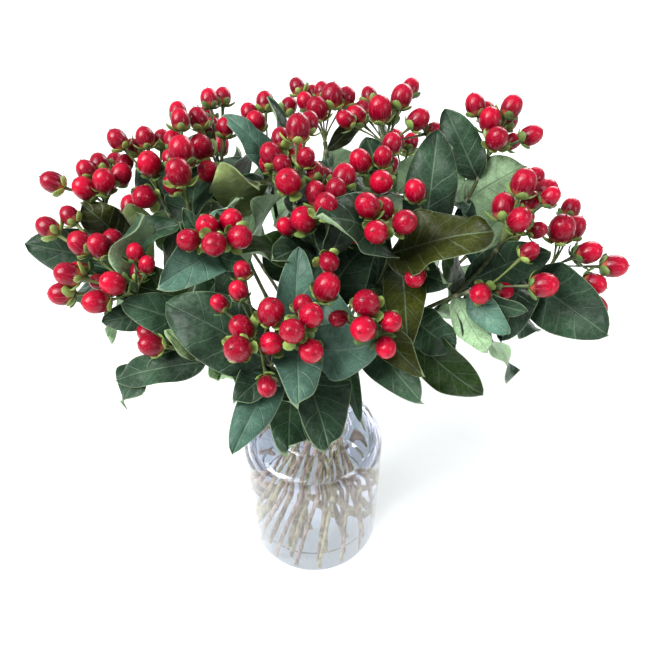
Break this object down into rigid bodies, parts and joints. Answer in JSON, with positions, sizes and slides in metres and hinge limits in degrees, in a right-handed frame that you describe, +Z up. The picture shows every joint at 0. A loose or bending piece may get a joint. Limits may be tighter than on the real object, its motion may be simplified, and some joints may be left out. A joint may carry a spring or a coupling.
{
  "type": "hypericum berry stem",
  "caption": "Bunch of leafy hypericum stems with red berries, standing in a clear glass bottle vase part filled with water.",
  "frame": {"origin": "centre of the vase's foot, on the surface that it stands on", "axes": "+Z up along the vase's axis, -Y towards the side from which the bunch is seen, +X to that viewer's right"},
  "size_m": [0.3256, 0.2772, 0.3377],
  "materials": {
    "clear_glass": "clear, polished",
    "still_water": null,
    "leaf_and_stem": "satin green leaves on woody stems",
    "berry": null
  },
  "bodies": {
    "root": {"vase": "clear_glass", "water": "still_water", "leafy_stem_01": "leaf_and_stem", "berry_head_01": "berry", "leafy_stem_02": "leaf_and_stem", "berry_head_02": "berry", "leafy_stem_03": "leaf_and_stem", "berry_head_03": "berry", "leafy_stem_04": "leaf_and_stem", "berry_head_04": "berry", "leafy_stem_05": "leaf_and_stem", "berry_head_05": "berry", "leafy_stem_06": "leaf_and_stem", "berry_head_06": "berry", "leafy_stem_07": "leaf_and_stem", "berry_head_07": "berry", "leafy_stem_08": "leaf_and_stem", "berry_head_08": "berry", "leafy_stem_09": "leaf_and_stem", "berry_head_09": "berry", "leafy_stem_10": "leaf_and_stem", "berry_head_10": "berry", "leafy_stem_11": "leaf_and_stem", "berry_head_11": "berry", "leafy_stem_12": "leaf_and_stem", "berry_head_12": "berry", "leafy_stem_13": "leaf_and_stem", "berry_head_13": "berry", "leafy_stem_14": "leaf_and_stem", "berry_head_14": "berry", "leafy_stem_15": "leaf_and_stem", "berry_head_15": "berry", "leafy_stem_16": "leaf_and_stem", "berry_head_16": "berry", "leafy_stem_17": "leaf_and_stem", "berry_head_17": "berry", "leafy_stem_18": "leaf_and_stem", "berry_head_18": "berry", "leafy_stem_19": "leaf_and_stem", "berry_head_19": "berry", "leafy_stem_20": "leaf_and_stem", "berry_head_20": "berry", "leafy_stem_21": "leaf_and_stem", "berry_head_21": "berry", "leafy_stem_22": "leaf_and_stem", "berry_head_22": "berry", "leafy_stem_23": "leaf_and_stem", "berry_head_23": "berry", "leafy_stem_24": "leaf_and_stem", "berry_head_24": "berry", "leafy_stem_25": "leaf_and_stem", "berry_head_25": "berry", "leafy_stem_26": "leaf_and_stem", "berry_head_26": "berry", "leafy_stem_27": "leaf_and_stem", "berry_head_27": "berry", "leafy_stem_28": "leaf_and_stem", "berry_head_28": "berry", "leafy_stem_29": "leaf_and_stem", "berry_head_29": "berry"}
  },
  "joints": []
}
